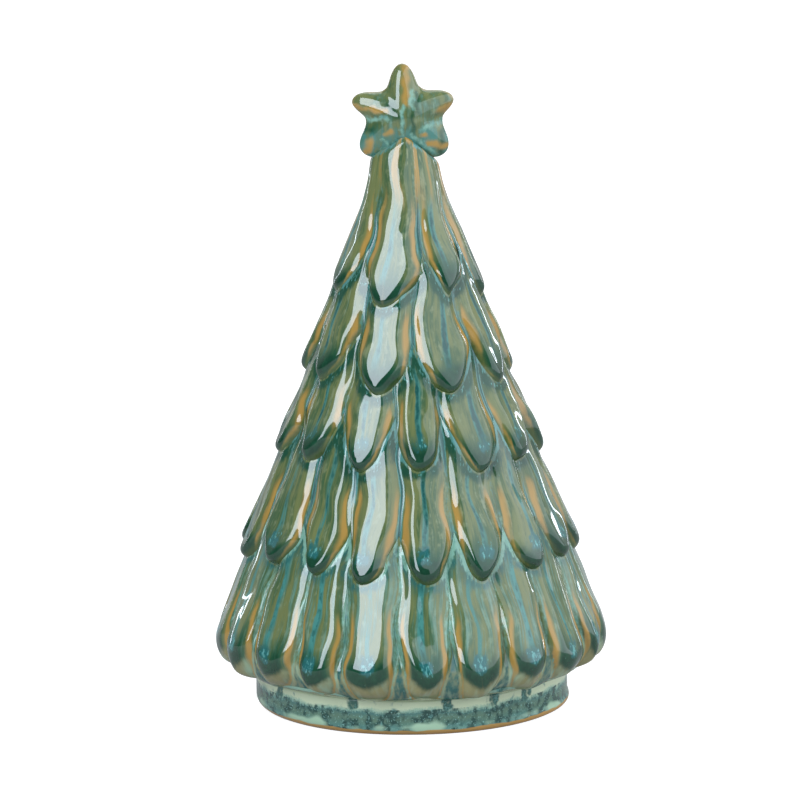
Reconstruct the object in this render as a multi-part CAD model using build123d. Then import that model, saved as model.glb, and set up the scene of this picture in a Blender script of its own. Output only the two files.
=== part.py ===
"""Ceramic Christmas tree: a hollow stoneware cone on a foot ring, with five rows of ribbed boughs and a star.

Millimetres, +Z up, origin under the middle of the foot. The photographed front faces -Y.
"""
import os
from math import atan, atan2, cos, pi, radians, sin, sqrt

from build123d import *

# Foot ring: the turned ring that meets the table
foot_height = 10.0
foot_radius = 43.5
foot_wall = 6.0
foot_edge_round = 2.6
foot_inner_round = 0.8

# Hollow body: a skirt that rolls under to the foot, a straight cone and a rounded crown
skirt_ledge = 3.3
skirt_edge_rise = 1.0
skirt_roll_height = 10.0
skirt_overhang = 5.1
cone_height = 135.0
neck_radius = 6.4
crown_rise = 4.5
body_wall = 4.5
cavity_tip_radius = 4.0

# Boughs: long tongues that lap over the row below, counted from the top row down
bough_counts = (7, 9, 13, 17, 21)
bough_turns = (-17.0, -16.0, 4.5, 6.0, 5.0)
bough_tip_height_shares = (0.693, 0.526, 0.371, 0.161)
bough_tongue = 12.0
bough_root_thickness = 1.6
bough_tip_thickness = 3.0
bough_root_shares = (0.7, 1.05, 1.0, 0.95, 1.4)
bough_tip_shares = (1.0, 1.0, 1.0, 1.15, 0.95)
bough_side_share = 0.5
midrib_depth = 0.6
groove_width = 0.4
lap_clearance = 0.1
root_clearance = 2.0

# Bottom row: longer, blunter tongues that curl under the skirt
skirt_tongue = 16.0
skirt_tip_rise = 0.4

# Sections of one tongue, from its tip up: place along it, thickness, and the powers that narrow its outline
tongue_place_shares = (0.03, 0.14, 0.41, 0.68, 1.0)
tongue_thickness_shares = (0.4, 0.78, 1.0, 0.98, 0.88)
tongue_outline_share = 0.55
skirt_outline_share = 0.24
lobe_crest_share = 0.52

# Star: five blunt arms, a soft ridge along each, standing across the crown
star_reach = 16.6
star_valley_reaches = (8.8, 8.8, 10.0, 8.8, 10.0)
star_tip_round = 1.8
star_valley_round = 2.4
star_rise = 2.9
star_half_thickness = 4.8
star_arm_angles = (160.5, 90.0, 19.5, -34.0, -146.0)
star_depth_shares = (0.0, 0.36, 0.74, 1.0)
star_size_shares = (1.0, 0.9, 0.6, 0.1)

overrun = 2.0

# Places that follow from the sizes above
foot_inner_radius = foot_radius - foot_wall
skirt_edge_radius = foot_radius + skirt_ledge
skirt_edge_height = foot_height + skirt_edge_rise
roll_radius = skirt_edge_radius + skirt_overhang
roll_height = skirt_edge_height + skirt_roll_height
neck_height = roll_height + cone_height
crown_height = neck_height + crown_rise
star_height = crown_height + star_rise
taper = (roll_radius - neck_radius) / cone_height
lean = atan(taper)
wall_across = body_wall / cos(lean)
roll_round = (skirt_overhang**2 + skirt_roll_height**2) / (2 * (skirt_overhang * cos(lean) + skirt_roll_height * sin(lean)))
roll_middle_radius = roll_radius - roll_round * cos(lean)
roll_middle_height = roll_height - roll_round * sin(lean)
bottom_row = len(bough_counts) - 1


def body_radius(height):
    """Radius of the plain body, under the boughs, at one height: a cone that rolls under in a smooth arc."""
    if height < roll_height:
        return roll_middle_radius + sqrt(roll_round**2 - (height - roll_middle_height) ** 2)
    return neck_radius + taper * (neck_height - height)


def height_where(radius):
    """Height at which the cone has one radius."""
    return neck_height - (radius - neck_radius) / taper


def at(radius, angle, height):
    """A point given by its radius, its angle round the axis in radians and its height."""
    return (radius * cos(angle), radius * sin(angle), height)


def make_foot_ring():
    """Ring with a rounded outer foot edge and a softened inner one."""
    outline = Polyline(
        (foot_inner_radius, 0, 0),
        (foot_radius, 0, 0),
        (foot_radius, 0, foot_height),
        (foot_inner_radius, 0, foot_height),
        close=True,
    )
    ring = revolve(make_face(outline), Axis.Z)
    low_edges = ring.edges().filter_by(GeomType.CIRCLE).group_by(Axis.Z)[0].sort_by(SortBy.RADIUS)
    ring = fillet(low_edges[-1], foot_edge_round)
    low_edges = ring.edges().filter_by(GeomType.CIRCLE).group_by(Axis.Z)[0].sort_by(SortBy.RADIUS)
    return fillet(low_edges[0], foot_inner_round)


def make_body_core():
    """Outside of the body, still solid, with a ball-shaped crown."""
    crown_ball = (neck_radius**2 + crown_rise**2) / (2 * crown_rise)
    crown_turn = atan2(neck_radius, crown_ball - crown_rise) / 2
    crown_middle = (crown_ball * sin(crown_turn), 0, crown_height - crown_ball * (1 - cos(crown_turn)))
    ledge = Polyline((0, 0, foot_height), (foot_radius, 0, foot_height), (skirt_edge_radius, 0, skirt_edge_height))
    belly = (roll_middle_radius + roll_round, 0, roll_middle_height)
    roll = ThreePointArc((skirt_edge_radius, 0, skirt_edge_height), belly, (roll_radius, 0, roll_height))
    cone = Line((roll_radius, 0, roll_height), (neck_radius, 0, neck_height))
    crown = ThreePointArc((neck_radius, 0, neck_height), crown_middle, (0, 0, crown_height))
    axis = Line((0, 0, crown_height), (0, 0, foot_height))
    return revolve(make_face(ledge.edges() + [roll, cone, crown, axis]), Axis.Z)


def make_body_shell(core):
    """The body with its inside drained out, as slip leaves it: open through the foot."""
    cavity_top = height_where(cavity_tip_radius + wall_across)
    cavity = Polyline(
        (0, 0, foot_height - overrun),
        (foot_inner_radius, 0, foot_height - overrun),
        (foot_inner_radius, 0, foot_height),
        (roll_radius - wall_across, 0, roll_height),
        (cavity_tip_radius, 0, cavity_top),
        (0, 0, cavity_top + cavity_tip_radius),
        close=True,
    )
    return core - revolve(make_face(cavity), Axis.Z)


def row_heights(row):
    """Tip, cusp and root heights of one row. A cusp is where two neighbours part."""
    if row == bottom_row:
        tip = skirt_edge_height + skirt_tip_rise
        cusp = tip + skirt_tongue
    else:
        tip = roll_height + cone_height * bough_tip_height_shares[row]
        cusp = tip + bough_tongue
    root = neck_height if row == 0 else row_heights(row - 1)[1] - root_clearance
    return tip, cusp, root


def bough_stations(row):
    """Height, half angle and thickness of each section of a bough, from the tip up to the root."""
    tip, cusp, root = row_heights(row)
    half_pitch = pi / bough_counts[row]
    outline_share = skirt_outline_share if row == bottom_row else tongue_outline_share
    stations = []
    for place, thickness in zip(tongue_place_shares, tongue_thickness_shares):
        height = tip + (cusp - tip) * place
        half_groove = groove_width / 2 / body_radius(height)
        half_angle = (half_pitch - half_groove) * place**outline_share
        stations.append((height, half_angle, bough_tip_thickness * bough_tip_shares[row] * thickness))
    half_groove = groove_width / 2 / body_radius(root)
    stations.append((root, half_pitch - half_groove, bough_root_thickness * bough_root_shares[row]))
    return stations


def bough_section(height, half_angle, thickness):
    """One level cut through a bough: two lobes, the midrib groove between them, steep sides and a buried back."""
    inner = body_radius(height)
    back = inner * cos(half_angle) - overrun
    side = inner + thickness * bough_side_share
    crest = inner + thickness
    rib = crest - midrib_depth * thickness / bough_tip_thickness
    left_back = at(back, -half_angle, height)
    left_side = at(side, -half_angle, height)
    left_crest = at(crest, -half_angle * lobe_crest_share, height)
    right_back = at(back, half_angle, height)
    right_side = at(side, half_angle, height)
    right_crest = at(crest, half_angle * lobe_crest_share, height)
    middle = at(rib, 0, height)
    return Wire(
        [
            Line(left_back, left_side).edge(),
            ThreePointArc(left_side, left_crest, middle).edge(),
            ThreePointArc(middle, right_crest, right_side).edge(),
            Line(right_side, right_back).edge(),
            Line(right_back, left_back).edge(),
        ]
    )


def trimming_section(height, half_angle, thickness):
    """The same cut, carried out past the lobes and a hair wider, to trim the row below to this bough's outline."""
    inner = body_radius(height)
    wider = half_angle + lap_clearance / inner
    back = inner * cos(wider) - overrun
    front = inner + thickness + bough_tip_thickness
    level = height - lap_clearance
    corners = (at(back, -wider, level), at(front, -wider, level), at(front, wider, level), at(back, wider, level))
    return Wire.make_polygon(corners)


def make_bough(row, core):
    """One bough of a row at angle zero, seated on the body."""
    sections = [bough_section(*station) for station in bough_stations(row)]
    return Solid.make_loft(sections, ruled=True) - core


def make_trimmer(row):
    """The block that one bough of a row takes out of the row below."""
    sections = [trimming_section(*station) for station in bough_stations(row)]
    return Solid.make_loft(sections, ruled=True)


def row_turns(row):
    """Turn of each bough of a row about Z, counted from the front."""
    front = -90.0
    pitch = 360.0 / bough_counts[row]
    return [front + bough_turns[row] + pitch * place for place in range(bough_counts[row])]


def angle_between(first, second):
    """Smallest turn between two directions, in degrees."""
    return abs((first - second + 180.0) % 360.0 - 180.0)


def make_bough_row(row, core):
    """All the boughs of a row, each trimmed to the tips that lap over it."""
    bough = make_bough(row, core)
    if row == 0:
        return [Rot(0, 0, turn) * bough for turn in row_turns(row)]
    trimmer = make_trimmer(row - 1)
    reach = 180.0 / bough_counts[row] + 180.0 / bough_counts[row - 1]
    boughs = []
    for turn in row_turns(row):
        laps = [above for above in row_turns(row - 1) if angle_between(turn, above) < reach]
        trimmed = Rot(0, 0, turn) * bough - [Rot(0, 0, above) * trimmer for above in laps]
        boughs.append(trimmed.solids().sort_by(SortBy.VOLUME)[-1])
    return boughs


def star_outline(size, depth):
    """Rounded star outline at one depth in front of the star's middle plane."""
    points = []
    radii = []
    for place, turn in enumerate(star_arm_angles):
        after = star_arm_angles[(place + 1) % len(star_arm_angles)]
        valley = turn - (turn - after) % 360.0 / 2
        corners = ((star_reach, turn, star_tip_round), (star_valley_reaches[place], valley, star_valley_round))
        for reach, angle, rounding in corners:
            points.append((size * reach * cos(radians(angle)), depth, size * reach * sin(radians(angle))))
            radii.append(size * rounding)
    return Wire(FilletPolyline(*points, radius=radii, close=True).edges())


def make_star(core, top_boughs):
    """Puffy star with a ridge along each arm, cut to sit over the crown and the top boughs."""
    depths = [-star_half_thickness * share for share in reversed(star_depth_shares[1:])]
    depths += [star_half_thickness * share for share in star_depth_shares]
    sizes = list(reversed(star_size_shares[1:])) + list(star_size_shares)
    sections = [star_outline(size, depth) for size, depth in zip(sizes, depths)]
    star = Pos(0, 0, star_height) * Solid.make_loft(sections, ruled=True)
    seated = star - [core, *top_boughs]
    return seated.solids().sort_by(SortBy.VOLUME)[-1]


def save(name, solids):
    """Write one node as a STEP file."""
    export_step(Compound(children=list(solids)), f"parts/{name}.step")


os.makedirs("parts", exist_ok=True)
body_core = make_body_core()
rows = [make_bough_row(row, body_core) for row in range(len(bough_counts))]
save("foot_ring", [make_foot_ring()])
save("body_shell", [make_body_shell(body_core)])
for number, boughs in enumerate(rows, start=1):
    save(f"bough_row_{number}", boughs)
save("star", [make_star(body_core, rows[0])])
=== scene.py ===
# %% [markdown]
# # A glazed stoneware Christmas tree
#
# The real tree is one hollow stoneware casting: a cone on a foot ring, clad in five rows of lapped boughs, with a
# star on top. It wears one reactive glaze, which breaks amber where it is thin, runs turquoise in the grooves and
# pools dark green at the bough tips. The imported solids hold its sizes, and this lesson gives them their skin.

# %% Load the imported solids
import math
from types import SimpleNamespace as Record

import bmesh
import bpy
import numpy as np
from mathutils import Matrix, Vector


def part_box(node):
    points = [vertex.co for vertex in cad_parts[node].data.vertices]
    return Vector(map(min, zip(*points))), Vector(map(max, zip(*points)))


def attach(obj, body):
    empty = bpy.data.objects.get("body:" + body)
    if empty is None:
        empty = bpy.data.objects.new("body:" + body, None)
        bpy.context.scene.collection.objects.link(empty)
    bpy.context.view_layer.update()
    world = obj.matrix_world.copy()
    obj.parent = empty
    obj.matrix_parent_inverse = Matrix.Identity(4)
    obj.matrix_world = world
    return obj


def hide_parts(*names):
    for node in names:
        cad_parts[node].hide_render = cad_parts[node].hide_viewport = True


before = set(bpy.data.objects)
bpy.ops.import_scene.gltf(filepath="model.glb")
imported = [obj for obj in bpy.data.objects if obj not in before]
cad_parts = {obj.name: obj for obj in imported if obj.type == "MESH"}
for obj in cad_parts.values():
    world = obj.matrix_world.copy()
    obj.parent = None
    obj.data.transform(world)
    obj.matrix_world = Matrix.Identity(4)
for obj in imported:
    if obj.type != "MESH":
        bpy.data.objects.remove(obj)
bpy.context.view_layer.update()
scene = bpy.context.scene
mm = 0.001

# %% [markdown]
# ## The camera
#
# The photograph was taken from a little above the star, with a long lens. A camera could be aimed by eye, but the
# ellipse of the foot and the drawn-in top give its height and distance, so the camera is placed from those. The
# tree leans a little in the picture, and the camera rolls to match.

# %% Place the camera
camera_distance = 1120 * mm
camera_height = 281 * mm
aim_height = 88 * mm
roll = math.radians(0.81)
image_width = 800
axis_right_px = 7.6
axis_up_px = 11.7

lens = bpy.data.cameras.new("studio_lens")
lens.lens = 184.8
lens.sensor_width = 36.0
lens.shift_x = -axis_right_px / image_width
lens.shift_y = -axis_up_px / image_width
camera = bpy.data.objects.new("studio_camera", lens)
scene.collection.objects.link(camera)
camera.location = (0, -camera_distance, camera_height)
look = Vector((0, 0, aim_height)) - camera.location
camera.rotation_euler = (look.to_track_quat("-Z", "Y").to_matrix() @ Matrix.Rotation(-roll, 3, "Z")).to_euler()
scene.camera = camera
print("camera looks down", round(math.degrees(math.asin(-look.z / look.length)), 2), "degrees")

# %% [markdown]
# ## Nodes and colours
#
# Materials are node trees. One small function adds a node and links its inputs, and three more use it for the
# commonest steps, so that a material reads as a list. Colours are quoted in sRGB hex, and one function turns them to
# the linear values that the shaders need.

# %% Helpers for nodes and colours
def add(tree, kind, inputs=None, **settings):
    """Add one shader node, with its properties and with values or links for its inputs."""
    made = tree.nodes.new("ShaderNode" + kind)
    for name, value in settings.items():
        setattr(made, name, value)
    for name, value in (inputs or {}).items():
        if isinstance(value, bpy.types.NodeSocket):
            tree.links.new(value, made.inputs[name])
        else:
            made.inputs[name].default_value = value
    return made


def reckon(tree, operation, *values):
    """One step of arithmetic with sockets and numbers."""
    return add(tree, "Math", dict(enumerate(values)), operation=operation).outputs[0]


def remap(tree, value, start, end, low=0.0, high=1.0, **settings):
    """Turn a value from start to end into one from low to high."""
    limits = {"From Min": start, "From Max": end, "To Min": low, "To Max": high}
    return add(tree, "MapRange", {"Value": value, **limits}, **settings).outputs["Result"]


def colour(hex_code):
    """Linear colour with alpha from an sRGB hex code."""
    parts = [int(hex_code[i : i + 2], 16) / 255 for i in (1, 3, 5)]
    linear = [c / 12.92 if c <= 0.04045 else ((c + 0.055) / 1.055) ** 2.4 for c in parts]
    return (*linear, 1.0)


def mix(tree, share, under, over):
    """Mix two colours, each a hex code or a socket, by a share from 0 to 1."""
    under, over = (colour(c) if isinstance(c, str) else c for c in (under, over))
    return add(tree, "Mix", {0: share, 6: under, 7: over}, data_type="RGBA").outputs[2]


def new_material(name):
    """A material with an empty node tree."""
    material = bpy.data.materials.new(name)
    material.use_nodes = True
    material.node_tree.nodes.clear()
    return material, material.node_tree


print("amber in linear light:", [round(c, 3) for c in colour("#a68342")])

# %% [markdown]
# ## The studio
#
# The tree stands on a white floor that runs up into a white room. Brighter lamps could bleach the floor, but would
# bleach the glaze too. So the floor adds a little light of its own for the camera, with a small share for the
# glaze's reflections, and still keeps the tree's shadow. The room is white to the camera, and lights the tree softly
# from behind on the right.

# %% Floor and world
floor_size = 12.0
floor_in_glaze = 0.12
glow_zone, near_glow, far_glow = (0.15, 0.9), 0.86, 1.0
bright_side, bright_zone = (0.5, 0.87, 0.0), (-0.3, 0.7)
dim_light, bright_light = 0.1, 0.9


def paper_floor():
    """Matt paper: diffuse, with a glow that lights nothing but shows it white to the camera."""
    material, tree = new_material("white_paper_sweep")
    rays = add(tree, "LightPath").outputs
    places = add(tree, "TexCoord").outputs["Object"]
    distance = add(tree, "VectorMath", {0: places}, operation="LENGTH").outputs["Value"]
    seen = reckon(tree, "MULTIPLY_ADD", rays["Is Glossy Ray"], floor_in_glaze, rays["Is Camera Ray"])
    strength = reckon(tree, "MULTIPLY", remap(tree, distance, *glow_zone, near_glow, far_glow), seen)
    paper = add(tree, "BsdfDiffuse", {"Color": colour("#a8a8a6")})
    glow = add(tree, "Emission", {"Color": colour("#ffffff"), "Strength": strength})
    shown = add(tree, "AddShader", {0: paper.outputs[0], 1: glow.outputs[0]})
    add(tree, "OutputMaterial", {"Surface": shown.outputs[0]})
    return material


def to_mesh(shape, name):
    """Turn a bmesh into a mesh and free it."""
    mesh = bpy.data.meshes.new(name)
    shape.to_mesh(mesh)
    shape.free()
    return mesh


sheet = bmesh.new()
bmesh.ops.create_grid(sheet, x_segments=1, y_segments=1, size=floor_size / 2)
floor_mesh = to_mesh(sheet, "paper_floor")
floor_mesh.materials.append(paper_floor())
floor = bpy.data.objects.new("paper_floor", floor_mesh)
scene.collection.objects.link(floor)

world = bpy.data.worlds.new("studio_room")
scene.world = world
world.use_nodes = True
room = world.node_tree
room.nodes.clear()
view = add(room, "TexCoord").outputs["Generated"]
towards = add(room, "VectorMath", {0: view, 1: bright_side}, operation="DOT_PRODUCT").outputs["Value"]
behind = remap(room, towards, *bright_zone, dim_light, bright_light)
strength = reckon(room, "MAXIMUM", behind, add(room, "LightPath").outputs["Is Camera Ray"])
air = add(room, "Background", {"Color": colour("#ffffff"), "Strength": strength})
add(room, "OutputWorld", {"Surface": air.outputs[0]})
print("floor", floor_size, "m across")

# %% [markdown]
# ## The lamps
#
# A glossy glaze is mostly a picture of the lights around it. The tall patch on each front bough is a softbox left of
# the camera, the veil over the right half is a broad panel, and the thin lines at both sides are strips behind the
# tree. Spots would give points of light, so each lamp is a rectangle, moved until its reflection falls into place.

# %% Lamps
def softbox(name, turn, rise, distance, width, height, radiance):
    """A lamp aimed at the middle of the tree, placed in degrees right of the camera and up, and in metres."""
    lamp = bpy.data.lights.new(name, "AREA")
    lamp.shape = "RECTANGLE"
    lamp.color = colour("#e8f3ff")[:3]
    lamp.size = width
    lamp.size_y = height
    lamp.energy = radiance * math.pi * width * height
    holder = bpy.data.objects.new(name, lamp)
    scene.collection.objects.link(holder)
    turn, rise = math.radians(turn), math.radians(rise)
    away = Vector((math.sin(turn) * math.cos(rise), -math.cos(turn) * math.cos(rise), math.sin(rise)))
    holder.location = Vector((0, 0, aim_height)) + away * distance
    holder.rotation_euler = (-away).to_track_quat("-Z", "Y").to_euler()


softbox("left_softbox", turn=-34, rise=29.5, distance=1.3, width=0.62, height=1.08, radiance=8.4)
softbox("right_panel", turn=62, rise=26, distance=1.5, width=2.7, height=1.9, radiance=1.8)
softbox("right_back_strip", turn=132, rise=16, distance=1.4, width=0.04, height=1.3, radiance=14.0)
softbox("left_back_strip", turn=-132, rise=16, distance=1.4, width=0.03, height=1.3, radiance=12.0)
softbox("overhead_panel", turn=170, rise=62, distance=1.6, width=1.6, height=1.0, radiance=1.6)

# %% [markdown]
# ## The plan of the boughs
#
# Each row is a ring of tongues that lap over the row below, carved by hand, so nearly but not quite alike. Copies of
# one would show, so the plan keeps the angle of each groove and tip on the photographed side, and spaces the rest
# evenly with small seeded differences. Formulas then give any point's distances from the edges of its bough, which
# shape both the relief and the glaze.

# %% Sizes of the body under the boughs, in millimetres
_, foot_high = (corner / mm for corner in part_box("foot_ring"))
_, body_high = (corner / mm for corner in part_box("body_shell"))
foot_radius, foot_height = foot_high.x, foot_high.z
neck_radius, neck_drop = 6.4, 4.5
skirt_edge_rise, skirt_ledge = 1.0, 3.3
skirt_roll, skirt_overhang = 10.0, 5.1
neck_height = body_high.z - neck_drop
skirt_edge_height = foot_height + skirt_edge_rise
roll_height = skirt_edge_height + skirt_roll
roll_radius = foot_radius + skirt_ledge + skirt_overhang
taper = (roll_radius - neck_radius) / (neck_height - roll_height)


def cone_radius(height):
    """Radius of the straight cone."""
    return neck_radius + taper * (neck_height - height)


def body_radius(height):
    """Radius of the plain body: the cone, which rolls under in a smooth arc at the skirt."""
    lean = math.atan(taper)
    over, drop = skirt_overhang, skirt_roll
    arc = (over**2 + drop**2) / (2 * (over * math.cos(lean) + drop * math.sin(lean)))
    below = np.clip(height, skirt_edge_height, roll_height) - roll_height + arc * math.sin(lean)
    rolled = roll_radius - arc * math.cos(lean) + np.sqrt(arc**2 - below**2)
    return np.where(height < roll_height, rolled, cone_radius(height))


def roll_under(height):
    """How far the rolled skirt lies inside the straight cone."""
    return cone_radius(height) - body_radius(height)


print("body radius at the skirt and the neck:", body_radius(np.array([roll_height, neck_height])).round(2))

# %% The rows, in millimetres and in degrees from the front
# For each row: how many boughs, their usual tip height, the rise and bluntness of a tongue, the height of the root,
# the thickness there and at the tip, the groove depth, the strength of two glaze marks, and the grooves and tips in
# the photograph. The lowest row is cut level over the foot.
bough_rows = [
    Record(count=7, tip=115.0, tongue=12.5, blunt=1.8, root=157.5, thin=0.0, thick=3.8, depth=2.2, crystals=0.2,
           pale=0.0, cut=None, grooves=(-41.3, 14.8, 64.1), tips=((-18.6, 113.0), (33.4, 116.2))),
    Record(count=9, tip=92.0, tongue=12.5, blunt=1.85, root=128.0, thin=0.6, thick=4.2, depth=2.2, crystals=0.35,
           pale=0.0, cut=None, grooves=(-74.3, -33.2, 4.5, 42.0),
           tips=((-57.3, 93.6), (-17.7, 90.8), (24.4, 90.2))),
    Record(count=13, tip=71.0, tongue=12.5, blunt=2.1, root=106.0, thin=0.4, thick=4.4, depth=2.2, crystals=0.7,
           pale=0.1, cut=None, grooves=(-65.0, -33.7, -8.2, 18.3, 45.7, 76.0),
           tips=((-49.3, 72.1), (-22.3, 70.9), (4.1, 71.5), (35.0, 69.9), (57.6, 70.4))),
    Record(count=17, tip=42.8, tongue=12.0, blunt=2.15, root=85.0, thin=0.5, thick=4.9, depth=2.2, crystals=0.9,
           pale=0.3, cut=None, grooves=(-68.4, -44.4, -24.3, -4.6, 16.3, 37.0, 57.3),
           tips=((-56.4, 44.4), (-34.7, 43.2), (-15.9, 41.7), (5.2, 41.3), (26.6, 42.7), (48.0, 43.1))),
    Record(count=21, tip=9.5, tongue=14.0, blunt=4.2, root=56.0, thin=0.9, thick=3.9, depth=1.6, crystals=1.0,
           pale=1.0, cut=11.25, grooves=(-73.8, -56.0, -37.4, -21.6, -4.2, 12.6, 29.7, 46.0, 64.2),
           tips=((-65.7, 9.4), (-48.2, 9.8), (-30.7, 9.3), (-13.1, 9.6), (4.0, 9.2), (20.6, 9.7), (37.6, 9.4),
                 (54.5, 9.6))),
]
dice = np.random.default_rng(25)
groove_slip, tip_slip_share, tip_rise_slip = 1.2, 0.1, 0.9
lean_slip, swell_slip = 0.3, 0.2


def complete_row(row):
    """Fill in the boughs round the back, evenly spaced with small differences."""
    front = np.array(row.grooves)
    hidden = row.count - len(row.tips)
    rest = np.linspace(front[-1], front[0] + 360, hidden + 1)
    rest[1:-1] += dice.uniform(-groove_slip, groove_slip, hidden - 1)
    row.edges = np.concatenate([front, rest[1:]])
    slip = dice.uniform(-tip_slip_share, tip_slip_share, hidden)
    back_turns = (rest[1:] + rest[:-1]) / 2 + slip * np.diff(rest)
    back_tips = row.tip + dice.uniform(-tip_rise_slip, tip_rise_slip, hidden)
    front_turns, front_tips = np.array(row.tips).T
    row.tip_turns = np.concatenate([front_turns, back_turns])
    row.tip_heights = np.concatenate([front_tips, back_tips])
    row.shade = dice.uniform(0, 1, row.count)
    row.lean = dice.uniform(-lean_slip, lean_slip, row.count)
    row.swell = dice.uniform(-swell_slip, swell_slip, row.count)


for row in bough_rows:
    complete_row(row)
print("boughs:", sum(row.count for row in bough_rows))

# %% Distances from the edges of a bough
def fade_in(zone, value):
    """0 before a zone, 1 after it, and an even slope between."""
    start, end = zone
    share = np.clip((value - start) / (end - start), 0, 1)
    return share * share * (3 - 2 * share)


def fade_out(zone, value):
    """1 before a zone and 0 after it."""
    return 1 - fade_in(zone, value)


def bough_place(row, turn, height):
    """Place across its bough and distances to its edges, for points given by a turn and a height."""
    wrapped = (turn - row.edges[0]) % 360 + row.edges[0]
    which = np.clip(np.searchsorted(row.edges, wrapped, side="right") - 1, 0, row.count - 1)
    left, right, tip = row.edges[which], row.edges[which + 1], row.tip_turns[which]
    reach = np.where(wrapped < tip, tip - left, right - tip)
    across = (wrapped - tip) / reach
    width = np.radians(reach) * body_radius(height)
    power = row.blunt
    edge = row.tip_heights[which] + row.tongue * np.abs(across) ** power
    steep = row.tongue * power * np.abs(across) ** (power - 1) / width
    out = (height - edge) / np.sqrt(1 + steep**2)
    if row.cut:
        edge = np.full_like(height, row.cut)
    side = (1 - np.abs(across)) * width
    half = np.radians(right - left) / 2 * body_radius(height)
    return Record(across=across, width=width, half=half, edge=edge, out=out, side=side, which=which)


test = bough_place(bough_rows[3], np.array([-15.9, -4.7]), np.array([50.0, 60.0]))
print("above the outline and from the groove:", test.out.round(2), test.side.round(2))

# %% [markdown]
# ## The relief
#
# Each bough swells from a thin root to a thick tip, is a little hollow across, and is parted from its neighbours by a
# soft groove. At its tip it rounds down to the row below. Sculpting would give that form once, but a formula over the
# distances gives it to all 67 boughs, each with its own seeded differences.

# %% Relief of one row over the body, in millimetres
side_round = 3.9
groove_reach_share, groove_grow_share = 0.75, 0.6
groove_root_share, groove_neck_share = 0.6, 0.25
grow_power, fall_power = 1.9, 2.4
tip_round, skirt_round, hem_round = 5.0, 2.6, 2.6
gap_floor, hem_depth, hollow_floor = -0.6, -0.4, -1.4
rib_depth, rib_width, rib_fade = 0.03, 1.0, 7.0
keel_base, keel_rise, keel_reach = 13.0, 7.0, 12.0
keel_blunt, keel_depth, point_rise = 0.25, 1.4, 3.6
dish_share, dish_middle = 0.75, 0.5
fringe_height, fringe_reach = 0.15, 1.0
tuck_depth = 0.35
neck_zone = (134.0, 150.0)


def from_tip(place):
    """How far a point lies from the middle of its bough, 0 to about 1, rounded at the middle."""
    return np.hypot(place.across, keel_blunt) - keel_blunt


def keel_place(row, place, height):
    """Height over the line, lowest at the tip, along which a bough turns under: its outline, or a V on the skirt."""
    if row.cut:
        return height - keel_base - keel_rise * from_tip(place)
    return place.out


def bough_relief(number, turn, height):
    """Thickness of a row over the body, before it is trimmed to its outline."""
    row = bough_rows[number]
    place = bough_place(row, turn, height)
    tip = row.tip_heights[place.which]
    grown = np.clip((row.root - height) / (row.root - tip), 0, 1)
    thick = row.thin + (row.thick - row.thin) * grown**grow_power
    thick += (row.swell[place.which] + row.lean[place.which] * place.across) * grown
    groove_reach = side_round * (groove_reach_share + groove_grow_share * grown)
    carved = fade_out(neck_zone, height)
    depth = row.depth * (groove_root_share + (1 - groove_root_share) * grown)
    depth = depth * (groove_neck_share + (1 - groove_neck_share) * carved)
    thick -= depth * fade_out((0, groove_reach), place.side)
    bulge = place.half**2 / (2 * body_radius(height))
    thick -= dish_share * bulge * (dish_middle - place.across**2) * grown
    rib = np.exp(-((place.across * place.width / rib_width) ** 2))
    thick -= rib_depth * rib * np.clip(place.out / rib_fade, 0, 1)
    if row.cut:
        thick -= keel_depth * np.clip(1 - keel_place(row, place, height) / keel_reach, 0, 1) ** 2
        sooner = point_rise * from_tip(place)
        thick = np.maximum(thick + roll_under(height) - roll_under(height - sooner), hollow_floor)
    if number > 0:
        below_tip = np.clip(-bough_place(bough_rows[number - 1], turn, height).out, 0, None)
        thick += fringe_height * np.exp(-below_tip / fringe_reach)
    return thick, place


def lapped_relief(number, turn, height):
    """Thickness of a row, rounded down at its outline to just under the row below."""
    thick, place = bough_relief(number, turn, height)
    if number + 1 < len(bough_rows):
        under, _ = bough_relief(number + 1, turn, height)
        fall = np.clip(1 - place.out / tip_round, 0, 1) ** fall_power
        return thick + (under - tuck_depth - thick) * fall, place
    gap_fall = fade_in((0, skirt_round), skirt_round - place.out)
    thick += (gap_floor - thick) * gap_fall
    hem_fall = np.clip(1 - (height - bough_rows[number].cut) / hem_round, 0, 1) ** fall_power
    return thick + (hem_depth - thick) * hem_fall, place


sample = lapped_relief(3, np.array([-15.9]), np.array([55.0]))[0]
print("a bough of row 4 stands", sample.round(2), "mm over the body")

# %% [markdown]
# ## The rows of boughs
#
# A row could be built bough by bough, but the glaze runs over all of them without a break. So each row is one closed
# ring: a flat grid is bent round the axis, up the outer wall and down the inner one. Its lower edge follows the tips,
# and its upper edge is tucked under the row above. Slow waves then shift it all a little, as no hand carves evenly.

# %% From a bmesh to a finished piece
def get_points(mesh):
    """Vertex places as an array."""
    points = np.empty(len(mesh.vertices) * 3)
    mesh.vertices.foreach_get("co", points)
    return points.reshape(-1, 3)


def set_points(mesh, points):
    """Move the vertices to new places, close the seams, then turn all faces outwards."""
    mesh.vertices.foreach_set("co", points.astype(np.float32).ravel())
    shape = bmesh.new()
    shape.from_mesh(mesh)
    bmesh.ops.remove_doubles(shape, verts=shape.verts[:], dist=1e-4 * mm)
    bmesh.ops.recalc_face_normals(shape, faces=shape.faces[:])
    shape.to_mesh(mesh)
    shape.free()
    mesh.update()


def set_attribute(mesh, name, *values):
    """Keep one number, or three, at each vertex for the glaze to read."""
    kind, field = ("FLOAT", "value") if len(values) == 1 else ("FLOAT_VECTOR", "vector")
    layer = mesh.attributes.new(name, kind, "POINT")
    layer.data.foreach_set(field, np.column_stack(values).astype(np.float32).ravel())


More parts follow.
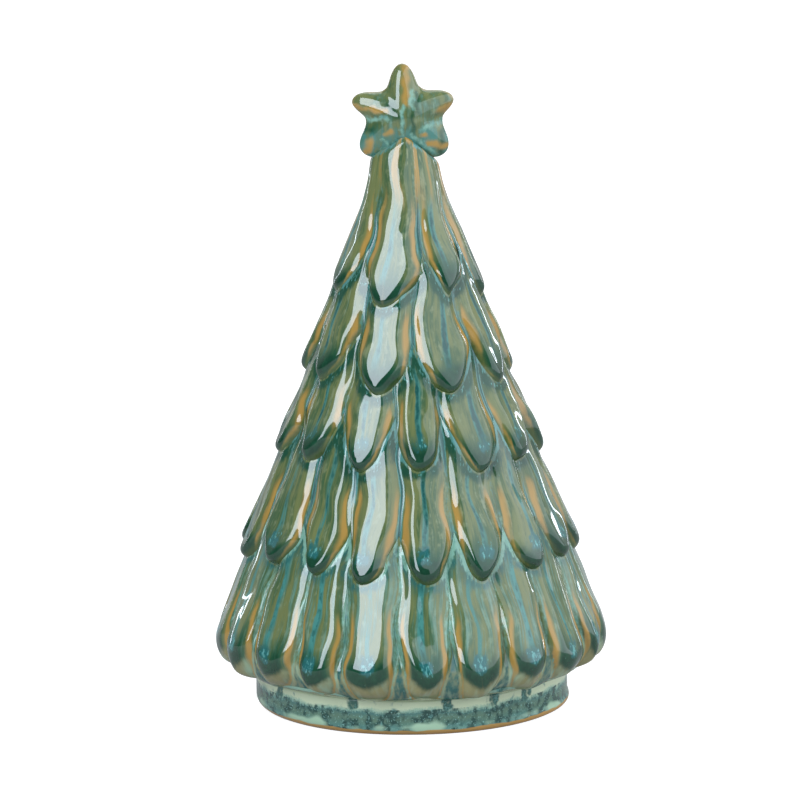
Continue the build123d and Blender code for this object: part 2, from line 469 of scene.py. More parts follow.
def finish_piece(name, mesh, node):
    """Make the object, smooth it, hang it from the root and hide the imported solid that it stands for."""
    mesh.shade_smooth()
    piece = bpy.data.objects.new(name, mesh)
    scene.collection.objects.link(piece)
    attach(piece, "root")
    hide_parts(node)
    print(name, "has", sum(len(face.vertices) - 2 for face in mesh.polygons), "triangles")
    return piece


# %% Places round the axis
groove_gather = 1.4
seam_share = 1 - 1e-6


def turn_of(row, share):
    """Turn at a share of the way round, with columns on every groove and tip, and the last on the first."""
    knots = np.empty(2 * row.count + 1)
    knots[0::2] = row.edges
    knots[1::2] = row.tip_turns
    step = np.where(share > seam_share, 0, share) * 2 * row.count
    which = np.clip(step.astype(int), 0, 2 * row.count - 1)
    part = step - which
    part = np.where(which % 2 == 0, part**groove_gather, 1 - (1 - part) ** groove_gather)
    return knots[which] + (knots[which + 1] - knots[which]) * part


def round_the_axis(turn, radius, height):
    """Places from a turn in degrees counted from the front, a radius and a height."""
    angle = np.radians(turn)
    return np.column_stack([radius * np.sin(angle), -radius * np.cos(angle), height])


print("first turns:", turn_of(bough_rows[0], np.linspace(0, 0.01, 4)).round(2))

# %% Waves, in millimetres
waves_in_sum = 8
broad_ripple, fine_ripple = 0.16, 0.03
hand_sway = 0.9
flat_zone = (138.0, 160.0)
flat_share = 0.48


def some_waves(length):
    """Seeded waves in space whose length is about this many millimetres."""
    spread = 1.7
    return [(dice.normal(0, 1, 3) * 2 * math.pi / length / spread, dice.uniform(0, 2 * math.pi))
            for _ in range(waves_in_sum)]


def wavy(points, waves):
    """The sum of some waves at points, mostly between -1 and 1."""
    return np.sum([np.sin(points @ wave + start) for wave, start in waves], axis=0) / (waves_in_sum / 2)


broad_waves, fine_waves = some_waves(11.0), some_waves(5.5)
side_waves, rise_waves = some_waves(17.0), some_waves(17.0)
edge_waves, tip_waves = some_waves(7.0), some_waves(7.0)
run_waves = some_waves(14.0)


def ripple(points):
    """The faint waviness of a hand-dipped glaze."""
    return broad_ripple * wavy(points, broad_waves) + fine_ripple * wavy(points, fine_waves)


def sway(points):
    """The unevenness of carving by hand: every point moves a little round the tree and along it."""
    radius = np.hypot(points[:, 0], points[:, 1])
    turn = np.degrees(np.arctan2(points[:, 0], -points[:, 1]) + hand_sway * wavy(points, side_waves) / radius)
    return round_the_axis(turn, radius, points[:, 2] + hand_sway * wavy(points, rise_waves))


def flatten_neck(points):
    """Draw the neck in from front and back, up to the thickness of the star."""
    drawn_in = points.copy()
    drawn_in[:, 1] *= 1 - flat_share * fade_in(flat_zone, points[:, 2])
    return drawn_in


print("ripple at the origin:", ripple(np.zeros((1, 3))).round(3))

# %% [markdown]
# ## The marks of the glaze
#
# In the kiln a glaze thins on rims and ridges and gathers in grooves and at tips. A painted picture could say where,
# but it would have to be drawn for every bough. The plan's distances already say it, so each vertex keeps marks from
# 0 to 1: amber rim, milky line, dark core, pool, crystals, tan tip, vein, the milky runs from the tips above, and the
# shade painted under those tips, which is partly glaze pooled there.

# %% Zones in which the marks fade in or out, in millimetres
glaze_drift = 0.7
rim_reach, skirt_rim_reach, tip_rim_share = 2.7, 2.0, 0.42
rim_start, rim_full = -0.1, 0.5
tip_rim_zone, lapped_rim_zone = (2.0, 9.0), (1.5, 6.0)
groove_milk, skirt_groove_milk, skirt_hem_milk = 0.9, 0.4, 0.6
flank_zone, long_zone, skirt_zone = (0.1, 0.4), (0.1, 0.7), (30.0, 40.0)
neck_amber, neck_streak_zone, neck_line_loss = 0.7, (0.1, 0.6), 0.8
streak_stretch = np.array([1.0, 1.0, 0.15])
apex_turn, apex_half_width, apex_half_height = 6.0, 1.2, 2.6
apex_zone, apex_gap_zone, collar_line_zone = (0.4, 1.2), (0.8, 1.6), (1.6, 3.4)
line_zone, core_zone = (0.5, 1.0), (0.2, 0.55)
skirt_line, skirt_core, skirt_amber = 0.75, 0.4, 0.7
pool_low, pool_high, pool_shade_rise, pool_pale_rise = 3.5, 13.0, 3.0, 2.0
skirt_pool_zone = (0.45, 0.9)
crystal_start, crystal_end, crystal_side = (4.0, 7.0), (8.0, 14.0), (1.0, 3.2)
tan_low, tan_high, skirt_tan_rise = 0.2, 2.2, 1.4
vein_width, vein_zone = 0.8, (3.0, 8.0)
vein_sway, vein_sway_length, vein_start = 0.5, 5.5, 40.0
run_low, run_high, pale_run_spread, run_at_tip, run_zone = 0.1, 0.7, 1.2, 0.1, (0.2, 0.55)
# Shade painted under each tip, partly glaze pooled there: where it fades in and out below the tip, and its loss on
# pale rows
shade_under_start, shade_under_end, pale_shade_loss = (-0.2, 0.5), (0.8, 4.0), 0.35
# The gaps between the skirt's tongues get painted shade of this strength, and the tongues a pale hem line
gap_zone, gap_painted_shade, hem_line, hem_line_width = (-0.6, 0.5), 0.7, 0.7, 0.5
patchy_mean, patchy_swing, patchy_least = 0.75, 0.6, 0.3
neck_side_height, neck_front_rise, neck_top_power = 153.8, 5.4, 1.2


def neck_top(turn):
    """Height at which the top row ends against the star, in front and behind higher than at its sides."""
    return neck_side_height + neck_front_rise * (1 - np.abs(np.sin(np.radians(turn))) ** neck_top_power)


print("top row ends at", neck_top(np.array([0.0, 90.0])).round(1), "mm in front and at the sides")

# %% Marks of one row
def glaze_marks(number, turn, height, place, flow):
    """Where a row's glaze is thin, milky or deep, and where shade is painted under tips: three sets of three marks,
    and how pale it is.
    """
    row = bough_rows[number]
    pale = row.pale
    shade = row.shade[place.which]
    middle = np.abs(place.across)
    side = place.side + glaze_drift / 2 * wavy(flow, edge_waves) * np.clip(place.side, 0, 1)
    out = place.out + glaze_drift * wavy(flow, tip_waves)
    wander = vein_sway * np.sin(height / vein_sway_length + vein_start * shade)
    off = np.abs(place.across * place.width + wander)
    along = (row.root - height) / (row.root - row.tip)
    deep = keel_place(row, place, height)
    above_tip = deep if row.cut else height - row.tip_heights[place.which]
    on_skirt = fade_out(skirt_zone, height) if row.cut else 0 * height
    on_neck = fade_in(neck_zone, height)

    inset = np.minimum(side - groove_milk - skirt_groove_milk * on_skirt, out - skirt_hem_milk * on_skirt)
    reach = rim_reach * (tip_rim_share + (1 - tip_rim_share) * fade_in(tip_rim_zone, above_tip))
    if row.cut:
        reach = skirt_rim_reach
    rim = fade_in((rim_start, rim_full), inset) * fade_out((rim_full, reach), inset)
    rim = rim * fade_in(flank_zone, middle) * fade_in(long_zone, along)
    if row.cut:
        rim *= on_skirt
    neck_streaks = fade_in(neck_streak_zone, wavy(flow * streak_stretch, edge_waves))
    rim = np.maximum(rim, neck_amber * on_neck * neck_streaks)
    line = fade_out(line_zone, side - skirt_groove_milk * on_skirt) * (1 - neck_line_loss * on_neck)
    core = fade_out(core_zone, side) * (1 - on_neck)

    pool = fade_out((pool_low, pool_high + pool_shade_rise * shade + pool_pale_rise * pale), above_tip)
    crystal = row.crystals * fade_in(crystal_start, above_tip) * fade_out(crystal_end, above_tip)
    crystal = crystal * fade_out(crystal_side, off)
    tan = fade_out((tan_low, tan_high + skirt_tan_rise * on_skirt), deep)
    vein = np.exp(-((off / vein_width) ** 2)) * fade_in(vein_zone, above_tip) * (1 + shade) / 2 * (1 - on_neck)

    if number == 0:
        beside_apex = np.radians(turn - apex_turn) * neck_radius / apex_half_width
        to_apex = np.hypot(beside_apex, (neck_top(turn) - height) / apex_half_height)
        rim = np.maximum(rim, fade_out(apex_zone, to_apex))
        line_below = fade_out(collar_line_zone, neck_top(turn) - height) * fade_in(apex_gap_zone, to_apex)
        painted_shade_under = np.zeros_like(vein)
    else:
        lap = bough_place(bough_rows[number - 1], turn, height)
        below = -lap.out
        run_spread = 1 + pale_run_spread * pale
        line_below = fade_out((run_low * run_spread, run_high * run_spread), below)
        line_below *= run_at_tip + (1 - run_at_tip) * fade_in(run_zone, np.abs(lap.across))
        # Painted shade under the tip above, partly glaze pooled there
        painted_shade_under = fade_in(shade_under_start, below) * fade_out(shade_under_end, below) * (1 - pale_shade_loss * pale)
        rim = rim * fade_in(lapped_rim_zone, below)
    if row.cut:
        gap = fade_out(gap_zone, out)
        pool *= fade_out(skirt_pool_zone, middle)
        tan *= 1 - skirt_amber * rim
        core *= skirt_core
        hem = hem_line * np.exp(-(((out - hem_line_width) / hem_line_width) ** 2))
        line = np.maximum(line * skirt_line * (1 - gap), hem)
        # Painted shade in the gaps between the tongues of the skirt
        painted_shade_under = np.maximum(painted_shade_under, gap_painted_shade * gap)

    patchy = np.clip(patchy_mean + patchy_swing * wavy(flow, run_waves), patchy_least, 1)
    # The third of the runs is the shade painted under the tips
    return {"marks": (rim, line * patchy, core * patchy), "pools": (pool, crystal, tan),
            "runs": (vein, line_below * patchy, painted_shade_under), "pale": (np.full_like(vein, pale),)}


# %% Make the five rows
bough_columns = (88, 74, 58, 50, 42)
outer_levels, inner_levels = (110, 88, 80, 92, 96), 6
level_gather = 1.25
top_tuck, ring_wall = 1.6, 1.6
collar_zone = (140.0, neck_height + 2.0)
collar_swell = 2.2
collar_round, collar_roll, collar_power = 3.0, 2.6, 2.2
boughs = []
for number, row in enumerate(bough_rows):
    levels, columns = outer_levels[number], bough_columns[number] * row.count
    grid = bmesh.new()
    bmesh.ops.create_grid(grid, x_segments=columns, y_segments=levels + inner_levels, size=0.5)
    node = f"bough_row_{number + 1}"
    mesh = to_mesh(grid, node)
    flat = get_points(mesh) + 0.5
    turn = turn_of(row, flat[:, 0])
    step = flat[:, 1] * (levels + inner_levels)
    outer = (step < levels + 0.5) | (step > levels + inner_levels - 0.5)
    up = np.where(step < levels + 0.5, step / levels, 1 - (step - levels) / inner_levels)
    bottom = bough_place(row, turn, np.full_like(turn, row.tip)).edge
    top = neck_top(turn)
    if number > 0:
        above = bough_rows[number - 1]
        top = bough_place(above, turn, np.full_like(turn, above.tip)).edge + top_tuck
    height = bottom + (top - bottom) * up**level_gather
    thick, place = lapped_relief(number, turn, height)
    if number == 0:
        thick += collar_swell * fade_in(collar_zone, height)
        thick -= collar_roll * np.clip(1 - (top - height) / collar_round, 0, 1) ** collar_power
    radius = body_radius(height) + np.where(outer, thick, np.minimum(thick, 0) - ring_wall)
    mean_radius = body_radius((row.root + row.tip) / 2)
    flow = round_the_axis(turn, mean_radius, height)
    radius += np.where(outer, ripple(flow), 0)
    for name, values in glaze_marks(number, turn, height, place, flow).items():
        set_attribute(mesh, name, *values)
    set_attribute(mesh, "flow", *flow.T)
    set_points(mesh, flatten_neck(sway(round_the_axis(turn, radius, height))) * mm)
    boughs.append(finish_piece("glazed_" + node, mesh, node))

# %% [markdown]
# ## The star
#
# The star is a puffy casting with five blunt arms and a soft ridge along each. An extruded outline would have flat
# faces and hard edges. Instead a ball is pressed flat, and its outline is drawn in between the arms: the ridges and
# valleys then follow by themselves.

# %% Press a ball into a star
star_middle = np.array([0.0, 0.0, 163.4])
star_half_thickness, star_turn = 4.9, 1.2
star_outline = ((90, 14.7), (57, 9.2), (19.5, 14.7), (-4, 10.5), (-41, 15.0), (-90, 9.5), (-142.5, 14.7),
                (-177, 10.4), (-199.5, 14.7), (-237, 9.2), (-270, 14.7))
arm_power = 1.25
core_reach, core_zone_share = 11.0, (0.15, 0.9)
puff_flat, puff_round = 1.45, 0.66
star_columns, star_levels = 300, 64


def star_reach(angle):
    """Reach of the star at an angle in degrees from +X, by turns an arm and a valley of the outline."""
    turns, reaches = np.array(star_outline).T
    wrapped = 90 - (90 - (angle - star_turn)) % 360
    after = np.clip(np.searchsorted(-turns, -wrapped, side="right"), 1, len(turns) - 1)
    share = (turns[after - 1] - wrapped) / (turns[after - 1] - turns[after])
    leaving = after % 2 == 1
    from_arm = np.where(leaving, share, 1 - share)
    arm = np.where(leaving, reaches[after - 1], reaches[after])
    valley = np.where(leaving, reaches[after], reaches[after - 1])
    return valley + (arm - valley) * ((1 + np.cos(from_arm * math.pi)) / 2) ** arm_power


ball = bmesh.new()
bmesh.ops.create_uvsphere(ball, u_segments=star_columns, v_segments=star_levels, radius=1.0)
mesh = to_mesh(ball, "star")
plain = get_points(mesh)
level = np.hypot(plain[:, 0], plain[:, 1])
angle = np.degrees(np.arctan2(plain[:, 1], plain[:, 0]))
reach = star_reach(angle)
across = level * reach
softened = core_reach + (reach - core_reach) * fade_in(core_zone_share, level)
flat_level = np.clip(across / softened, 0, 1)
depth = np.sign(plain[:, 2]) * star_half_thickness * np.clip(1 - flat_level**puff_flat, 0, 1) ** puff_round
right, up = across * np.cos(np.radians(angle)), across * np.sin(np.radians(angle))
points = np.column_stack([right, -depth, up])
outward = points / np.linalg.norm(points, axis=1)[:, None]
points += outward * ripple(points)[:, None] + star_middle
print("star reaches", round(float(points[:, 2].max()), 1), "mm up")

# %% Runs of glaze on the star: start, end and half width, in millimetres from its middle
amber_runs = ((0.7, 13.5, 0.4, 4.2, 1.4), (-13.5, 3.0, -5.2, 2.0, 1.0), (9.8, 1.8, 13.2, 3.2, 1.2),
              (-10.0, -8.8, -9.0, -6.6, 1.3), (-4.6, -4.4, -3.9, -3.9, 1.1),
              (7.0, -7.2, 11.4, -8.0, 1.2), (4.8, -4.9, 5.3, -4.8, 0.7))
turquoise_runs = ((-0.4, 3.6, -0.4, -4.8, 0.8), (2.2, 7.4, 2.4, 3.2, 1.0), (-11.0, -0.2, -4.6, -0.2, 1.1),
                  (11.5, -0.4, 4.4, -3.4, 1.2), (-9.4, -11.8, -0.6, -5.2, 1.0),
                  (9.6, -11.4, 2.6, -5.0, 1.1), (-6.6, -5.6, -4.6, -7.0, 0.6))
teal_runs = ((2.4, 2.8, 2.5, -4.0, 0.9), (-11.0, -2.6, -8.6, -3.4, 1.8), (-3.6, 3.4, -1.8, 0.4, 2.2),
             (3.4, 6.4, 4.0, 1.0, 1.0), (-9.6, -12.4, -1.6, -5.8, 0.8), (9.8, -10.4, 10.6, -4.0, 1.4))
stroke_wobble, run_strength = 0.3, 0.75
wobble_waves = np.array([[0.8, 1.5], [1.3, -0.9]])
edge_zone, edge_up_zone, edge_amber = (0.9, 0.98), (-3.0, 1.0), 0.35
lobe_zone, lobe_crystal, lobe_vein, star_pale = (-5.0, 0.5), 0.3, 0.4, 0.9
star_pattern = np.array([0.5, 0.5, 0.9])


def strokes(runs):
    """How near each point of the star is to any of some runs of glaze."""
    nearest = np.zeros_like(right)
    flat = np.array([right, up])
    x, z = flat + stroke_wobble * np.sin(wobble_waves @ flat)
    for x0, z0, x1, z1, width in runs:
        share = ((x - x0) * (x1 - x0) + (z - z0) * (z1 - z0)) / ((x1 - x0) ** 2 + (z1 - z0) ** 2)
        share = np.clip(share, 0, 1)
        away = np.hypot(x - x0 - share * (x1 - x0), z - z0 - share * (z1 - z0))
        nearest = np.maximum(nearest, np.exp(-((away / width) ** 2)))
    return nearest * run_strength


edge = fade_in(edge_zone, level) * fade_in(edge_up_zone, up) * edge_amber
lobes = fade_out(lobe_zone, up)
none = np.zeros_like(up)
set_attribute(mesh, "marks", np.maximum(strokes(amber_runs), edge), strokes(turquoise_runs), none)
set_attribute(mesh, "pools", strokes(teal_runs), lobes * lobe_crystal, none)
set_attribute(mesh, "runs", lobes * lobe_vein, none, none)
set_attribute(mesh, "pale", none + star_pale)
set_attribute(mesh, "flow", *(points * star_pattern).T)
set_points(mesh, points * mm)
star = finish_piece("glazed_star", mesh, "star")

# %% [markdown]
# ## The hollow body
#
# Slip leaves an even wall, so the body is a shell, of which a little shows at the ledge over the foot and from below.
# It could be joined from two cones, but one spin of an outline, up the outside and down the inside, gives a closed
# shell at once. Where glaze ran out of the grooves, each vertex keeps how near it is to such a drip.

# %% Spin an outline
turned_columns = 336


def spin_outline(outline):
    """Spin a closed outline of radius and height pairs, in millimetres, round the axis."""
    shape = bmesh.new()
    points = [shape.verts.new((radius * mm, 0, height * mm)) for radius, height in outline]
    for first, second in zip(points, points[1:] + points[:1]):
        on_axis = first.co.x + second.co.x < 1e-6 * mm
        if not on_axis:
            shape.edges.new((first, second))
    bmesh.ops.spin(shape, geom=shape.verts[:] + shape.edges[:], axis=(0, 0, 1), cent=(0, 0, 0),
                   steps=turned_columns, angle=2 * math.pi, use_merge=True)
    bmesh.ops.remove_doubles(shape, verts=shape.verts[:], dist=1e-3 * mm)
    bmesh.ops.recalc_face_normals(shape, faces=shape.faces[:])
    return shape


# %% Drips
drip_sizes = dice.choice((0.01, 0.6, 0.9, 1.3), bough_rows[-1].count)
skirt_blob_height, skirt_blob_half = 14.0, (1.7, 3.4)
drip_end_height, drip_half, drip_sway = 8.0, (2.5, 2.2), 0.8
blob_zone, drip_zone = (0.5, 1.3), (0.5, 1.2)
ledge_slack = 0.2


def drip_marks(mesh):
    """Keep each vertex's height, and how near it is to glaze that ran out of the lowest grooves."""
    points = get_points(mesh) / mm
    turn = np.degrees(np.arctan2(points[:, 0], -points[:, 1]))
    away = np.abs((turn[:, None] - bough_rows[-1].edges[:-1] + 180) % 360 - 180)
    aside = np.radians(away.min(axis=1)) * np.hypot(points[:, 0], points[:, 1])
    height, size = points[:, 2], drip_sizes[away.argmin(axis=1)]
    on_skirt = np.hypot(aside / skirt_blob_half[0], (height - skirt_blob_height) / skirt_blob_half[1])
    aside = np.abs(aside - drip_sway * wavy(points, edge_waves))
    on_foot = np.hypot(aside / drip_half[0], np.clip(drip_end_height - height, 0, None) / drip_half[1])
    drip = np.where(height > skirt_edge_height - ledge_slack, fade_out(blob_zone, on_skirt / size),
                    fade_out(drip_zone, on_foot / size))
    set_attribute(mesh, "drip", drip)
    set_attribute(mesh, "height", height)


print("drips of some size:", int((drip_sizes > 0.1).sum()))

# %% Make the body
body_wall = 4.5
skirt_skin, skirt_dip = 0.3, 2.0
dip_zone = (skirt_edge_height + 0.8, skirt_edge_height + 2.8)
under_rows = 1.2
crown_base, crown_rise = neck_height - 2.0, 1.5
cavity_top, cavity_tip_radius, cavity_low = 140.0, 4.0, 20.0
foot_wall = 6.0
foot_inner = foot_radius - foot_wall
ledge_seat, ledge_lip, ledge_lip_rise = 0.2, 0.9, 0.25
skirt_top, upper_low = roll_height + 7.0, roll_height + 11.0
skirt_steps, upper_steps, crown_steps = 26, 12, 7
skirt_heights = np.linspace(skirt_edge_height, skirt_top, skirt_steps)
upper_heights = np.linspace(upper_low, crown_base, upper_steps)
crown_turns = np.linspace(0, math.pi / 2, crown_steps)[1:]

skin_dips = skirt_skin + skirt_dip * fade_in(dip_zone, skirt_heights)
outside = [(float(body_radius(h)) - dip, h) for h, dip in zip(skirt_heights, skin_dips)]
outside += [(float(body_radius(h)) - under_rows, h) for h in upper_heights]
outside += [((neck_radius - under_rows) * math.cos(t), crown_base + crown_rise * math.sin(t)) for t in crown_turns]
inside = [(0.0, cavity_top), (cavity_tip_radius, cavity_top - cavity_tip_radius),
          (float(body_radius(cavity_low)) - body_wall, cavity_low), (foot_inner, foot_height)]
ledge = [(foot_radius - ledge_seat, foot_height), (foot_radius + ledge_lip, foot_height + ledge_lip_rise)]
body_mesh = to_mesh(spin_outline(outside + inside + ledge), "hollow_body")
set_points(body_mesh, flatten_neck(get_points(body_mesh) / mm) * mm)
drip_marks(body_mesh)
body = finish_piece("hollow_body", body_mesh, "body_shell")

# %% [markdown]
# ## The foot ring
#
# The foot is a plain turned ring. Its lower edge was wiped free of glaze before firing, so it is rounded and bare,
# and on the right it has slumped out a little. The rounding could be drawn in the outline, but it is easier to spin
# a rectangle and let a bevel round the two lower edges.

# %% Spin and bevel the foot
foot_edge_round, bevel_steps = 2.6, 6
foot_slump, outer_slack = 1.7, 0.1
wall_low, wall_steps = foot_edge_round + 0.6, 12
wall = [(foot_radius, h) for h in np.linspace(wall_low, foot_height, wall_steps)]
ring = spin_outline([(foot_inner, 0.0), (foot_radius, 0.0), *wall, (foot_inner, foot_height)])
low_edges = [edge for edge in ring.edges if all(abs(v.co.z) < 1e-6 for v in edge.verts)
             and abs(edge.verts[0].co.xy.length - edge.verts[1].co.xy.length) < 1e-6]
bmesh.ops.bevel(ring, geom=low_edges, offset=foot_edge_round * mm, segments=bevel_steps, profile=0.5,
                affect="EDGES", material=-1)
foot_mesh = to_mesh(ring, "foot_ring")
foot_points = get_points(foot_mesh)
low_share = np.clip(1 - foot_points[:, 2] / (foot_edge_round * mm), 0, 1)
to_right = np.clip(foot_points[:, 0] / (foot_radius * mm), 0, 1)
outer = np.hypot(foot_points[:, 0], foot_points[:, 1]) > (foot_radius - foot_edge_round - outer_slack) * mm
foot_points[:, :2] *= (1 + np.where(outer, foot_slump / foot_radius * low_share * to_right, 0))[:, None]
set_points(foot_mesh, foot_points)
drip_marks(foot_mesh)
foot = finish_piece("glazed_foot_ring", foot_mesh, "foot_ring")

# %% [markdown]
# ## The reactive glaze
#
# A reactive glaze is a coloured glass over a tan stoneware body. Where it thins, the clay shows through as amber.
# Where it thickens, it turns deep green. Milky turquoise floats in the grooves and runs down from the tips, broken
# into specks. Real layers of glass would be slow to render and hard to steer, so colours are laid over one another
# where the marks are strong, and noise that is stretched along the flow breaks their edges.

# %% A brush for glazes
def glaze_brush(tree):
    """A function that lays one colour over another in this material."""

    def lay(under, over, mark, noise, spread, low, high):
        """Lay a colour from where a mark, shifted by a noise of some spread, is low to where it is high."""
        swing = reckon(tree, "MULTIPLY_ADD", noise, spread, -spread / 2)
        broken = reckon(tree, "ADD", mark, swing)
        return mix(tree, remap(tree, broken, low, high, interpolation_type="SMOOTHSTEP"), under, over)

    return lay


def kept(tree, name):
    """One number that was kept at the vertices."""
    return add(tree, "Attribute", attribute_name=name).outputs["Fac"]


def kept_three(tree, name):
    """Three numbers that were kept at the vertices."""
    layer = add(tree, "Attribute", attribute_name=name)
    return add(tree, "SeparateXYZ", {0: layer.outputs["Vector"]}).outputs


# %% Glaze of the boughs and the star
def reactive_glaze():
    """Glossy reactive stoneware glaze, dipped and fired: olive glass that breaks amber, teal and turquoise."""
    material, tree = new_material("reactive_stoneware_glaze")
    lay = glaze_brush(tree)
    flow = add(tree, "Attribute", attribute_name="flow").outputs["Vector"]
    pale = kept(tree, "pale")
    rim, line, core = kept_three(tree, "marks")
    pool, crystal, tan = kept_three(tree, "pools")
    # The third of the runs is the shade painted under the tips
    vein, line_below, painted_shade_under = kept_three(tree, "runs")

    def pattern(across_mm, along_mm, detail):
        """Noise whose cells measure so many mm round the tree and down it."""
        cells = (1 / across_mm, 1 / across_mm, 1 / along_mm)
        sized = add(tree, "VectorMath", {0: flow, 1: cells}, operation="MULTIPLY").outputs[0]
        noise = add(tree, "TexNoise", {"Vector": sized, "Scale": 1.0, "Detail": detail, "Roughness": 0.6})
        return noise.outputs["Fac"]

    streak = pattern(1.1, 18.0, 3.0)
    cloud = pattern(5.0, 14.0, 3.0)
    fleck = pattern(0.6, 1.5, 2.0)
    blotch = pattern(1.6, 2.6, 2.0)
    tint = lay("#6b7347", "#3f5a3a", cloud, streak, 1.2, 0.3, 0.65)
    tint = lay(tint, "#7d855f", streak, blotch, 0.8, 0.5, 0.8)
    tint = lay(tint, "#688f7e", pale, streak, 2.6, 0.85, 1.7)
    tint = lay(tint, "#437a70", vein, streak, 1.4, 0.1, 0.6)
    vein_tone = lay("#184e4a", "#43827a", pale, blotch, 2.4, 0.6, 1.2)
    tint = lay(tint, vein_tone, vein, blotch, 1.4, 0.35, 0.9)
    tint = lay(tint, "#194b33", pool, cloud, 0.9, 0.12, 0.95)
    tint = lay(tint, "#0d3826", pool, blotch, 0.8, 0.6, 1.15)
    tint = lay(tint, "#23605f", crystal, blotch, 1.6, 0.4, 1.0)
    tint = lay(tint, "#5a9a96", crystal, fleck, 3.0, 0.95, 1.4)
    tint = lay(tint, "#a68342", rim, streak, 1.1, 0.12, 0.85)
    tip_tone = lay("#465a30", "#918c60", pale, blotch, 0.6, 0.4, 0.8)
    tip_tone = lay(tip_tone, "#9ab397", pale, cloud, 2.6, 0.9, 1.5)
    tint = lay(tint, tip_tone, tan, blotch, 0.7, 0.05, 1.05)
    # Painted shade under the tips, partly glaze pooled there: dark green, bluer on pale rows, with milky flecks in it
    shade_tone = lay("#1b4835", "#265f5a", pale, streak, 0.4, 0.5, 0.9)
    tint = lay(tint, shade_tone, painted_shade_under, blotch, 1.2, 0.2, 0.9)
    tint = lay(tint, "#5d978e", painted_shade_under, fleck, 2.6, 1.05, 1.6)
    line_tone = lay("#4f8681", "#79a693", pale, blotch, 2.2, 0.35, 1.0)
    tint = lay(tint, line_tone, line, fleck, 1.4, 0.2, 1.05)
    tint = lay(tint, line_tone, line_below, fleck, 1.8, 0.3, 1.0)
    tint = lay(tint, "#1f5650", core, streak, 1.0, 0.2, 0.9)
    glassy, milky = 0.05, 0.25
    dullness = remap(tree, line, 0.2, 0.9, glassy, milky)
    glaze = add(tree, "BsdfPrincipled", {"Base Color": tint, "Roughness": dullness, "IOR": 1.62})
    add(tree, "OutputMaterial", {"Surface": glaze.outputs[0]})
    return material


bough_glaze = reactive_glaze()
for piece in boughs + [star]:
    piece.data.materials.append(bough_glaze)
print("glaze nodes:", len(bough_glaze.node_tree.nodes))

# %% [markdown]
# ## The glaze of the ledge and the foot
#
# On the foot the same glaze lies in bands: milky on the ledge, dark and speckled on the wall, with pale patches and
# a wiped amber edge at the bottom. Bands could be painted one by one, but a colour ramp over the height gives them
# all, and noise that is added to the height makes their edges wander.

# %% Bands of glaze, in millimetres up
band_top, band_shift = 18.0, 2.6
lowest_band, highest_band = "#6b8f80", "#3d746e"
bands = ((1.6, "#6c988c"), (2.4, "#56827a"), (3.4, "#577b6d"), (4.6, "#5d7b67"), (5.6, "#57796b"), (6.3, "#4b7872"),
         (7.1, "#98b9a2"), (8.0, "#ccd6b6"), (10.9, "#c4d0b2"), (11.4, "#8f8258"), (12.0, "#8cab96"),
         (16.0, "#4d7f7c"))
cloud_shift, speck_shift = 3.4, 1.8
dark_middle, dark_half = 4.2, 3.2
patch_zone, wiped_zone = (2.6, 5.0), (0.7, 2.3)


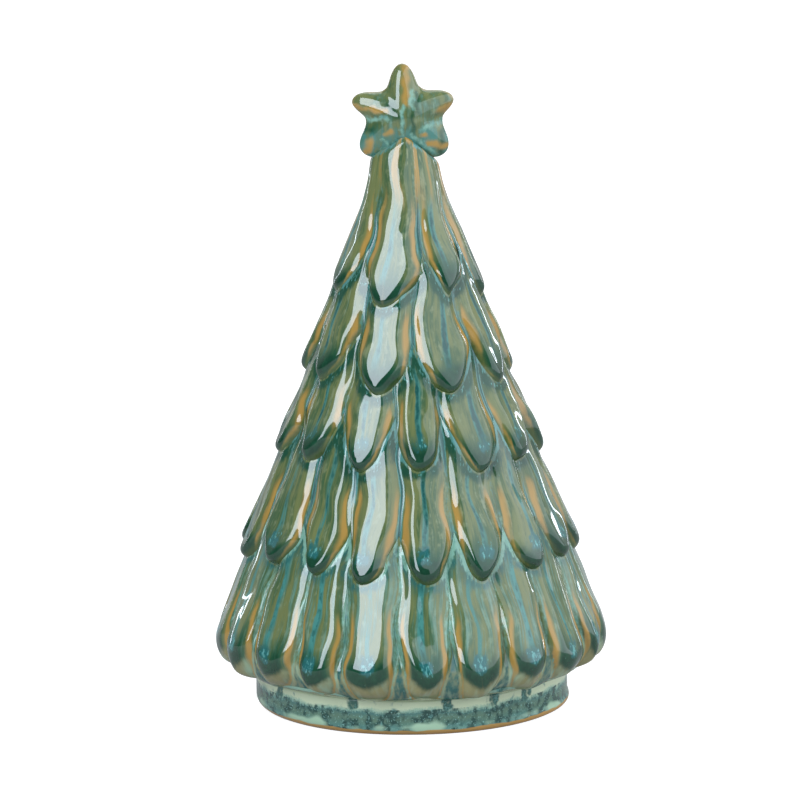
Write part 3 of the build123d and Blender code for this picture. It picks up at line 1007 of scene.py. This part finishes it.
def foot_glaze():
    """The same glaze where it ran down and pooled: milky on the ledge, dark and speckled on the foot, with drips."""
    material, tree = new_material("pooled_stoneware_glaze")
    lay = glaze_brush(tree)
    drip, height = kept(tree, "drip"), kept(tree, "height")
    places = add(tree, "TexCoord").outputs["Object"]

    def grain(size):
        """Noise whose cells measure so many mm."""
        return add(tree, "TexNoise", {"Vector": places, "Scale": 1 / (size * mm), "Detail": 2.0}).outputs["Fac"]

    speck, blotch, cloud, patch = grain(0.5), grain(2.2), grain(6), grain(11)
    wander = reckon(tree, "MULTIPLY_ADD", cloud, cloud_shift, height)
    broken = reckon(tree, "MULTIPLY_ADD", speck, speck_shift, wander)
    tone = add(tree, "ValToRGB", {"Fac": remap(tree, broken, band_shift, band_shift + band_top)})
    tone.color_ramp.elements[0].color = colour(lowest_band)
    tone.color_ramp.elements[1].color = colour(highest_band)
    for millimetres, hex_code in bands:
        tone.color_ramp.elements.new(millimetres / band_top).color = colour(hex_code)
    in_band = reckon(tree, "COMPARE", height, dark_middle, dark_half)
    tint = lay(tone.outputs["Color"], "#25453f", in_band, blotch, 3.0, 0.8, 1.45)
    tint = lay(tint, "#7fb0a6", in_band, speck, 4.0, 1.3, 1.9)
    drip_tone = lay("#3a6459", "#5d8f8a", speck, blotch, 0.8, 0.5, 0.75)
    tint = lay(tint, drip_tone, drip, blotch, 2.6, 0.3, 0.9)
    tint = lay(tint, "#a5c3a6", remap(tree, height, *patch_zone, 1.0, 0.0), patch, 4.0, 0.85, 1.4)
    tint = lay(tint, "#b98d4e", remap(tree, height, *wiped_zone, 1.0, 0.0), cloud, 0.8, 0.35, 0.55)
    glaze = add(tree, "BsdfPrincipled", {"Base Color": tint, "Roughness": 0.12, "IOR": 1.55})
    add(tree, "OutputMaterial", {"Surface": glaze.outputs[0]})
    return material


pooled_glaze = foot_glaze()
for piece in (foot, body):
    piece.data.materials.append(pooled_glaze)
print("foot glaze nodes:", len(pooled_glaze.node_tree.nodes))

# %% [markdown]
# ## The bare clay
#
# The inside and the underneath were never glazed, so the clay shows there: a warm tan stoneware with a fine sandy
# grain and a few iron specks. The specks could be modelled, but they are flat and small, so the cells of a Voronoi
# pattern give them. Only the faces that look inwards or down take this material.

# %% Bare stoneware
def bare_clay():
    """Unglazed stoneware, fired: matt and tan, with a sandy grain that catches the light and dark iron specks."""
    material, tree = new_material("bare_fired_stoneware")
    grain_size, grain_depth, speck_gap, speck_edge = 0.4 * mm, 0.1 * mm, 3 * mm, (0.08, 0.14)
    places = add(tree, "TexCoord").outputs["Object"]
    grain = add(tree, "TexNoise", {"Vector": places, "Scale": 1 / grain_size, "Detail": 3.0}).outputs["Fac"]
    iron = add(tree, "TexVoronoi", {"Vector": places, "Scale": 1 / speck_gap}).outputs["Distance"]
    sand = mix(tree, grain, "#a98c66", "#c9b08a")
    tint = mix(tree, remap(tree, iron, *speck_edge), "#6d5236", sand)
    bump = add(tree, "Bump", {"Height": grain, "Strength": 0.4, "Distance": grain_depth}).outputs["Normal"]
    surface = add(tree, "BsdfPrincipled", {"Base Color": tint, "Roughness": 0.85, "Normal": bump})
    add(tree, "OutputMaterial", {"Surface": surface.outputs[0]})
    return material


clay = bare_clay()
straight_down = -0.98
wiped_radius = (foot_radius - foot_edge_round) * mm
clay_faces = 0
for piece in (body, foot):
    piece.data.materials.append(clay)
    for face in piece.data.polygons:
        inwards = face.normal.xy.dot(face.center.xy) < 0
        underneath = face.normal.z < straight_down and face.center.xy.length < wiped_radius
        if inwards or underneath:
            face.material_index = 1
            clay_faces += 1
print("faces of bare clay:", clay_faces)

# %% [markdown]
# ## The view
#
# Colours are shown as they are written, with no film curve. The skin has to stay within the imported
# solids' box.

# %% Show colours as written
scene.view_settings.view_transform = "Standard"
